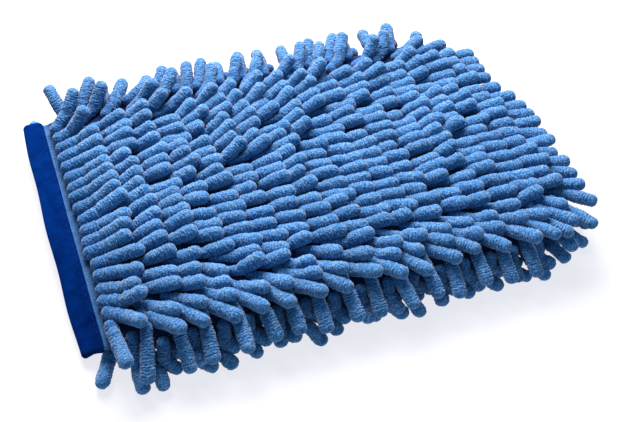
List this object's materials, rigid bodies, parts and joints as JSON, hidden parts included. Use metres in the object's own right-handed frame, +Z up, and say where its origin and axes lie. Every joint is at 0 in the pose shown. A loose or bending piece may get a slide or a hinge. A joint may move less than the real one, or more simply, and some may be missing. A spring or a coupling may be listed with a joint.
{
  "type": "wash mitt",
  "caption": "Soft pouch for one hand, covered on both faces with rows of thick chenille noodles that lean away from a narrow folded cuff.",
  "frame": {"origin": "on the surface that the mitt lies on, under the middle of its overall length and width", "axes": "+X from the cuff to the closed end, +Y across the pouch between its side seams, +Z up out of the upper face"},
  "size_m": [0.3054, 0.211, 0.0406],
  "materials": {
    "chenille": "thick napped chenille, transverse ribs",
    "base_cloth": "brushed knit",
    "lining": "plain mesh knit",
    "cuff": "velvety ribbed band",
    "elastic": "woven elastic",
    "thread": "twisted sewing thread"
  },
  "bodies": {
    "root": {"upper_panel": "base_cloth", "lower_panel": "base_cloth", "upper_lining": "lining", "lower_lining": "lining", "cuff_band": "cuff", "cuff_elastic": "elastic", "cuff_stitching": "thread", "side_seam_stitching": "thread", "upper_noodles_01": "chenille", "upper_noodles_02": "chenille", "upper_noodles_03": "chenille", "upper_noodles_04": "chenille", "upper_noodles_05": "chenille", "upper_noodles_06": "chenille", "upper_noodles_07": "chenille", "upper_noodles_08": "chenille", "upper_noodles_09": "chenille", "upper_noodles_10": "chenille", "upper_noodles_11": "chenille", "upper_noodles_12": "chenille", "upper_noodles_13": "chenille", "upper_noodles_14": "chenille", "upper_noodles_15": "chenille", "upper_noodles_16": "chenille", "upper_noodles_17": "chenille", "upper_noodles_18": "chenille", "lower_noodles_01": "chenille", "lower_noodles_02": "chenille", "lower_noodles_03": "chenille", "lower_noodles_04": "chenille", "lower_noodles_05": "chenille", "lower_noodles_06": "chenille", "lower_noodles_07": "chenille", "lower_noodles_08": "chenille", "lower_noodles_09": "chenille", "lower_noodles_10": "chenille", "lower_noodles_11": "chenille", "lower_noodles_12": "chenille", "lower_noodles_13": "chenille", "lower_noodles_14": "chenille", "lower_noodles_15": "chenille", "lower_noodles_16": "chenille", "lower_noodles_17": "chenille", "lower_noodles_18": "chenille"}
  },
  "joints": []
}
